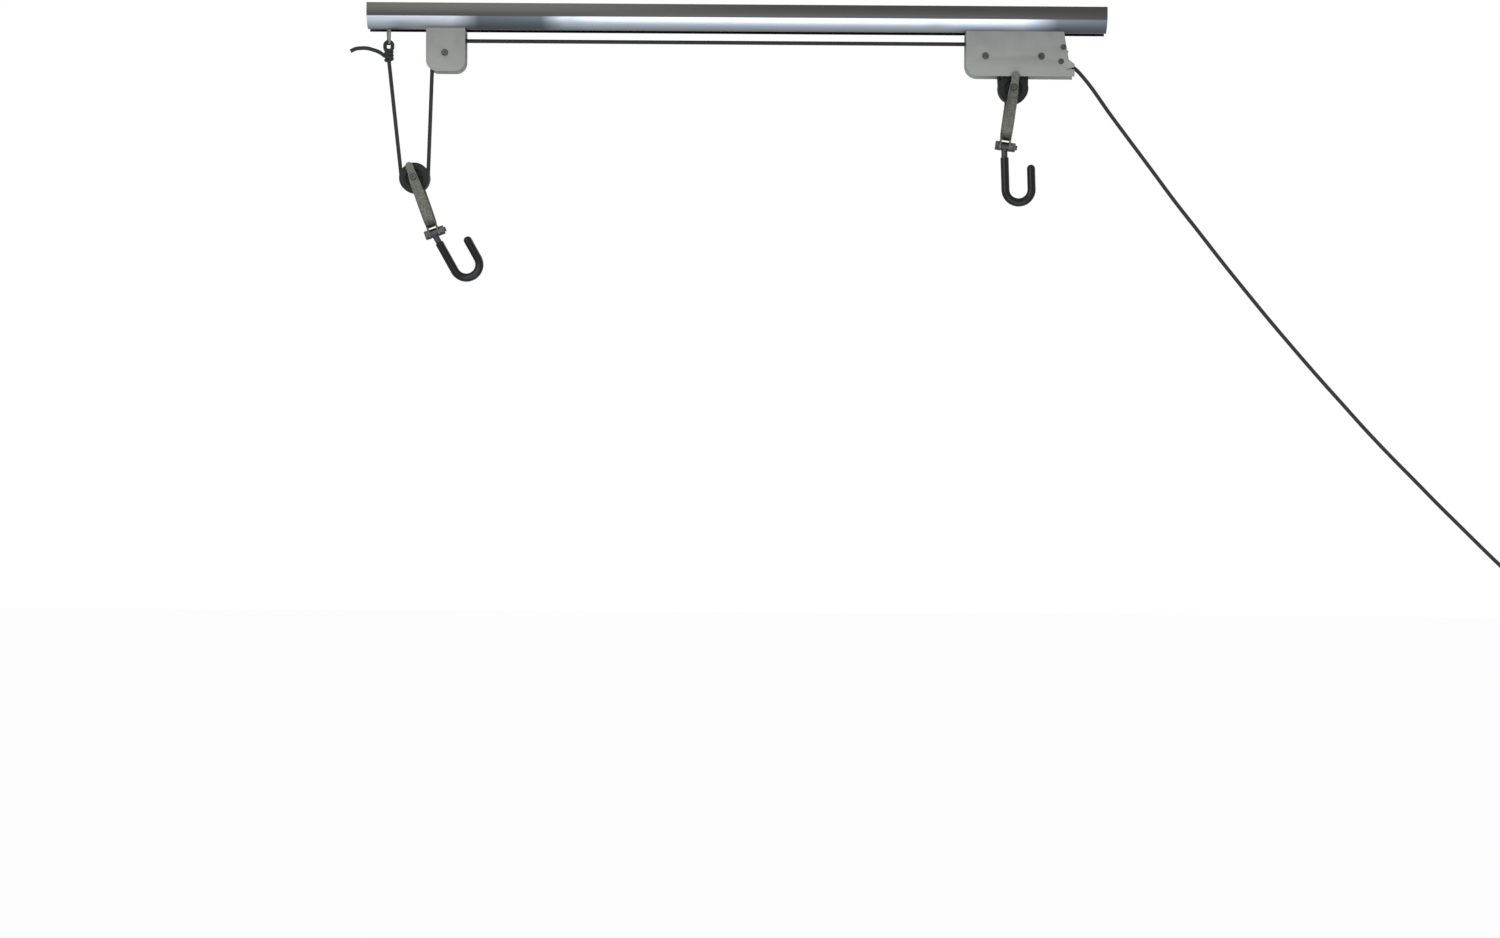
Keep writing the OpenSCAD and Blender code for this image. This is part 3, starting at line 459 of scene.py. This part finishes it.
grooves = add_node(tree, "ShaderNodeBump", {"Height": lines.outputs[0], "Strength": 0.25, "Distance": 0.0001})
tree.links.new(colour.outputs[2], shader.inputs["Base Color"])
tree.links.new(gloss.outputs[0], shader.inputs["Roughness"])
tree.links.new(grooves.outputs[0], shader.inputs["Normal"])
print("finish:", aluminium.name)

# %% [markdown]
# The brackets are castings with a grey powder coat. The powder flows as it bakes and
# leaves a faint orange peel, with bumps about a millimetre apart.

# %% Grey powder coat
powder, tree, shader = new_finish("grey_powder_coat")
place = add_node(tree, "ShaderNodeTexCoord")
peel = add_node(tree, "ShaderNodeTexNoise",
                {"Vector": place.outputs["Object"], "Scale": 900.0, "Detail": 2.0})
cloud = add_node(tree, "ShaderNodeTexNoise",
                 {"Vector": place.outputs["Object"], "Scale": 45.0, "Detail": 5.0})
height = add_node(tree, "ShaderNodeSeparateXYZ", {"Vector": place.outputs["Object"]})
# Painted light: the brackets are painted darker at the top and lighter towards the bottom, where the light
# from below falls
painted_light_gradient = add_node(tree, "ShaderNodeMapRange", {0: height.outputs["Z"], 1: -0.036, 2: -0.082, 3: 0.0, 4: 1.0})
shade = add_node(tree, "ShaderNodeMix", {0: painted_light_gradient.outputs[0], 6: linear("#6A6967"), 7: linear("#86877E")},
                 data_type="RGBA")
tint = add_node(tree, "ShaderNodeMix", {0: cloud.outputs[0], 6: shade.outputs[2], 7: linear("#8E8F88")},
                data_type="RGBA")
rough = add_node(tree, "ShaderNodeMapRange", {0: cloud.outputs[0], 3: 0.42, 4: 0.58})
bumps = add_node(tree, "ShaderNodeBump", {"Height": peel.outputs[0], "Strength": 0.3, "Distance": 0.00015})
tree.links.new(tint.outputs[2], shader.inputs["Base Color"])
tree.links.new(rough.outputs[0], shader.inputs["Roughness"])
tree.links.new(bumps.outputs[0], shader.inputs["Normal"])
print("finish:", powder.name)

# %% [markdown]
# The bracket bolts and the straps are zinc plated, and zinc dulls in patches of a few
# millimetres. Rivets, pins, spacers, hook bolts, hooks and the rope lock are darker steel with
# the same kind of patches, from oil and handling, so one function serves them all.

# %% Plated and oiled steel
def steel(name, dark, light, rough_low, rough_high):
    finish, tree, shader = new_finish(name, Metallic=1.0)
    place = add_node(tree, "ShaderNodeTexCoord")
    patch = add_node(tree, "ShaderNodeTexVoronoi", {"Vector": place.outputs["Object"], "Scale": 380.0})
    cloud = add_node(tree, "ShaderNodeTexNoise",
                     {"Vector": place.outputs["Object"], "Scale": 160.0, "Detail": 6.0})
    both = add_node(tree, "ShaderNodeMath", {0: patch.outputs["Distance"], 1: cloud.outputs[0]},
                    operation="ADD")
    even = add_node(tree, "ShaderNodeMapRange", {0: both.outputs[0], 1: 0.2, 2: 1.5, 3: 0.0, 4: 1.0})
    tint = add_node(tree, "ShaderNodeMix", {0: even.outputs[0], 6: linear(dark), 7: linear(light)},
                    data_type="RGBA")
    rough = add_node(tree, "ShaderNodeMapRange",
                     {0: cloud.outputs[0], 1: 0.3, 2: 0.7, 3: rough_low, 4: rough_high})
    skin = add_node(tree, "ShaderNodeBump", {"Height": cloud.outputs[0], "Strength": 0.2, "Distance": 0.0001})
    tree.links.new(tint.outputs[2], shader.inputs["Base Color"])
    tree.links.new(rough.outputs[0], shader.inputs["Roughness"])
    tree.links.new(skin.outputs[0], shader.inputs["Normal"])
    return finish


bright_zinc = steel("bright_zinc_plate", "#5C5E60", "#A2A5A7", 0.3, 0.48)
dull_zinc = steel("dull_zinc_plate", "#393933", "#64645C", 0.42, 0.58)
strap_zinc = steel("olive_zinc_plate", "#50544C", "#7E8278", 0.45, 0.62)
rivet_steel = steel("rolled_rivet_steel", "#2C2C2B", "#545452", 0.34, 0.5)
dark_steel = steel("oiled_dark_steel", "#2A2A2B", "#454547", 0.3, 0.48)
print("finishes:", bright_zinc.name, dull_zinc.name, strap_zinc.name, rivet_steel.name, dark_steel.name)

# %% [markdown]
# Pulleys and the cleat are moulded nylon, with the fine spark grain of the mould. The hooks
# wear a vinyl skin that was dipped on, thicker in some places than in others, and glossy.

# %% Moulded nylon and dipped vinyl
def moulded(name, dark, light, rough_low, rough_high, grain, height):
    finish, tree, shader = new_finish(name, IOR=1.53, Specular_IOR_Level=0.22)
    place = add_node(tree, "ShaderNodeTexCoord")
    speck = add_node(tree, "ShaderNodeTexNoise",
                     {"Vector": place.outputs["Object"], "Scale": grain, "Detail": 3.0})
    cloud = add_node(tree, "ShaderNodeTexNoise",
                     {"Vector": place.outputs["Object"], "Scale": 60.0, "Detail": 4.0})
    tint = add_node(tree, "ShaderNodeMix", {0: cloud.outputs[0], 6: linear(dark), 7: linear(light)},
                    data_type="RGBA")
    rough = add_node(tree, "ShaderNodeMapRange", {0: cloud.outputs[0], 3: rough_low, 4: rough_high})
    skin = add_node(tree, "ShaderNodeBump", {"Height": speck.outputs[0], "Strength": 0.3, "Distance": height})
    tree.links.new(tint.outputs[2], shader.inputs["Base Color"])
    tree.links.new(rough.outputs[0], shader.inputs["Roughness"])
    tree.links.new(skin.outputs[0], shader.inputs["Normal"])
    return finish


black_nylon = moulded("black_moulded_nylon", "#090A09", "#131412", 0.45, 0.62, 2200.0, 0.0001)
grey_nylon = moulded("grey_moulded_nylon", "#2E2F31", "#3F4043", 0.4, 0.58, 1800.0, 0.00012)
vinyl = moulded("black_dipped_vinyl", "#040404", "#0A0A0A", 0.12, 0.26, 150.0, 0.0003)
print("finishes:", black_nylon.name, grey_nylon.name, vinyl.name)

# %% [markdown]
# The cord is black polyester, braided from sixteen flat yarns. Two sets of slanting bands cross
# each other, and each yarn swells where it lies on top. The UV map counts one turn round the
# rope across, and one rope diameter along.

# %% Braided polyester
braid, tree, shader = new_finish("black_braided_polyester", Roughness=0.72)
shader.inputs["Sheen Weight"].default_value = 0.1
shader.inputs["Sheen Roughness"].default_value = 0.4
skin = add_node(tree, "ShaderNodeUVMap", uv_map="braid")
pair = add_node(tree, "ShaderNodeSeparateXYZ", {"Vector": skin.outputs[0]})
around = add_node(tree, "ShaderNodeMath", {0: pair.outputs["X"], 1: 8.0}, operation="MULTIPLY")
forth = add_node(tree, "ShaderNodeMath", {0: pair.outputs["Y"], 1: 2.4}, operation="MULTIPLY")
left = add_node(tree, "ShaderNodeMath", {0: around.outputs[0], 1: forth.outputs[0]}, operation="ADD")
right = add_node(tree, "ShaderNodeMath", {0: around.outputs[0], 1: forth.outputs[0]}, operation="SUBTRACT")
left_wave = add_node(tree, "ShaderNodeMath", {0: left.outputs[0], 1: 0.5}, operation="PINGPONG")
right_wave = add_node(tree, "ShaderNodeMath", {0: right.outputs[0], 1: 0.5}, operation="PINGPONG")
cross = add_node(tree, "ShaderNodeMath", {0: left_wave.outputs[0], 1: right_wave.outputs[0]},
                 operation="MULTIPLY")
swell = add_node(tree, "ShaderNodeMapRange", {0: cross.outputs[0], 1: 0.0, 2: 0.2, 3: 0.0, 4: 1.0})
# Painted shade: the braid is darker where the yarns dip between crossings and lighter where they swell on top
painted_yarn_shade = add_node(tree, "ShaderNodeMix", {0: swell.outputs[0], 6: linear("#060706"), 7: linear("#1B1D19")},
                data_type="RGBA")
relief = add_node(tree, "ShaderNodeBump", {"Height": swell.outputs[0], "Strength": 0.7, "Distance": 0.0004})
tree.links.new(painted_yarn_shade.outputs[2], shader.inputs["Base Color"])
tree.links.new(relief.outputs[0], shader.inputs["Normal"])
for piece in (haul_rope, tail_rope, rear_rope, front_rope, top_rope, lock_rope, knot_rope):
    piece.data.materials.append(braid)
print("finish:", braid.name)

# %% [markdown]
# The real rail, brackets and straps have no razor edges. A rounded copy of each catches a thin
# line of light along its edges. The copy's loose triangles are merged first, flat faces are
# joined again, and a bevel finishes every edge that turns by more than thirty degrees.

# %% A copy with rounded edges
MERGE = 0.000002
FLAT_ANGLE = math.radians(0.5)
BEVEL_ANGLE = math.radians(30)
SMOOTH_ANGLE = math.radians(32)


def rounded(node, radius, name):
    piece = bpy.data.objects.new(name, solids[node].data.copy())
    bpy.context.scene.collection.objects.link(piece)
    piece.data.materials.clear()
    bpy.ops.object.select_all(action="DESELECT")
    piece.select_set(True)
    bpy.context.view_layer.objects.active = piece
    bpy.ops.object.mode_set(mode="EDIT")
    bpy.ops.mesh.select_all(action="SELECT")
    bpy.ops.mesh.remove_doubles(threshold=MERGE)
    bpy.ops.mesh.dissolve_limited(angle_limit=FLAT_ANGLE)
    bpy.ops.object.mode_set(mode="OBJECT")
    edge = piece.modifiers.new("edge", "BEVEL")
    edge.width = radius
    edge.segments = 2
    edge.limit_method = "ANGLE"
    edge.angle_limit = BEVEL_ANGLE
    edge.use_clamp_overlap = True
    bpy.ops.object.modifier_apply(modifier="edge")
    bpy.ops.object.shade_smooth_by_angle(angle=SMOOTH_ANGLE)
    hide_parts(node)
    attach(piece, solids[node]["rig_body"])
    return piece


print("edges that turn by more than", round(math.degrees(BEVEL_ANGLE)), "degrees get a bevel")

# %% Dress every solid with its finish
FINISHES = [
    (aluminium, ["rail"]),
    (powder, ["rear_bracket", "lock_bracket"]),
    (bright_zinc, [
        "rear_bracket_bolts", "lock_bracket_bolts", "rear_bracket_nuts", "lock_bracket_nuts"]),
    (dull_zinc, ["rear_stirrup", "front_stirrup"]),
    (strap_zinc, ["rope_anchor"]),
    (rivet_steel, [
        "rear_bracket_axle", "entry_axle_rivet", "exit_axle_rivet", "cam_pin", "anvil_pin", "lock_anvil",
        "rear_block_axle", "front_block_axle", "rear_block_spacers", "front_block_spacers",
        "rear_hook_bolt", "rear_hook_nut", "front_hook_bolt", "front_hook_nut"]),
    (black_nylon, [
        "rear_bracket_pulley", "entry_pulley", "exit_pulley", "rear_block_pulley", "front_block_pulley"]),
    (dark_steel, ["lock_cam", "rear_hook", "front_hook"]),
    (vinyl, ["rear_hook_sleeve", "front_hook_sleeve"]),
    (grey_nylon, ["wall_cleat"]),
]
for finish, names in FINISHES:
    for name in names:
        solid = solids[name]
        solid.data.materials.clear()
        solid.data.materials.append(finish)
print("dressed", sum(len(names) for _, names in FINISHES), "solids")

# %% Round the rail, the brackets and the straps
ROUNDED = {
    "rail": (0.0004, aluminium, "anodised_aluminium"),
    "rear_bracket": (0.0005, powder, "grey_casting"),
    "lock_bracket": (0.0005, powder, "grey_casting"),
    "rear_stirrup": (0.0004, dull_zinc, "zinc_strap"),
    "front_stirrup": (0.0004, dull_zinc, "zinc_strap"),
    "rope_anchor": (0.0003, strap_zinc, "zinc_strap"),
}
for name, (radius, finish, slot) in ROUNDED.items():
    piece = rounded(name, radius, name + "_rounded")
    piece.data.materials.append(finish)
    print(piece.name, len(piece.data.polygons), "faces")

# %% [markdown]
# A plain pale floor and soft light from large lamps show the shapes without hard shadows. Most
# of the light comes from the front, from above the hoist and from below it, as in a room with
# a window and a floor that throws its light back.

# %% Floor, as far below the ceiling as the hooks can be let down, and a little more
# One for rays that look at a surface from the lens, by a mirror or through glass, else zero
def looked_at(tree):
    rays = add_node(tree, "ShaderNodeLightPath")
    seen = add_node(tree, "ShaderNodeMath",
                    {0: rays.outputs["Is Camera Ray"], 1: rays.outputs["Is Glossy Ray"]},
                    operation="MAXIMUM")
    seen = add_node(tree, "ShaderNodeMath",
                    {0: seen.outputs[0], 1: rays.outputs["Is Transmission Ray"]},
                    operation="MAXIMUM")
    return seen.outputs[0]


FLOOR_SIZE = 60
FLOOR_Z = -2.4
bpy.ops.mesh.primitive_plane_add(size=FLOOR_SIZE, location=(0, 0, FLOOR_Z))
floor = bpy.context.object
floor.name = "floor"
pale, tree, shader = new_finish("pale_floor", Roughness=0.8)
shader.inputs["Base Color"].default_value = linear("#ECECEA")
# What the lens or a mirror sees of the floor is mostly plain white, with a little of its shading
share = add_node(tree, "ShaderNodeMath", {0: looked_at(tree), 1: 0.9}, operation="MULTIPLY")
white = add_node(tree, "ShaderNodeEmission", {"Color": (1, 1, 1, 1), "Strength": 1.04})
blend = add_node(tree, "ShaderNodeMixShader",
                 {0: share.outputs[0], 1: shader.outputs[0], 2: white.outputs[0]})
tree.links.new(blend.outputs[0], tree.get_output_node("ALL").inputs["Surface"])
floor.data.materials.append(pale)
print("floor at", floor.location.z)


# %% Lamps
def lamp(name, place, aim, size, watts, hex_colour):
    bpy.ops.object.light_add(type="AREA", location=place)
    light = bpy.context.object
    light.name = name
    light.rotation_euler = (Vector(aim) - Vector(place)).to_track_quat("-Z", "Y").to_euler()
    light.data.size = size
    light.data.energy = watts
    light.data.color = linear(hex_colour)[:3]


lamp("window", (-1.6, -3.0, 0.9), (0, 0, -0.2), 2.2, 42, "#F4F7FF")
lamp("floor_bounce", (0.3, -1.9, -1.25), (0, 0, -0.05), 2.4, 34, "#EAF2FF")
lamp("room", (2.2, 1.8, 0.8), (0.1, 0, -0.1), 2.0, 22, "#FFF8EE")

# %% World
world = bpy.data.worlds.new("studio")
bpy.context.scene.world = world
world.use_nodes = True
tree = world.node_tree
tree.nodes.clear()
power = add_node(tree, "ShaderNodeMapRange", {0: looked_at(tree), 3: 0.45, 4: 1.0})
sky = add_node(tree, "ShaderNodeBackground", {"Color": (1, 1, 1, 1), "Strength": power.outputs[0]})
add_node(tree, "ShaderNodeOutputWorld", {"Surface": sky.outputs[0]})
bpy.context.scene.view_settings.view_transform = "Standard"
print("world:", world.name)
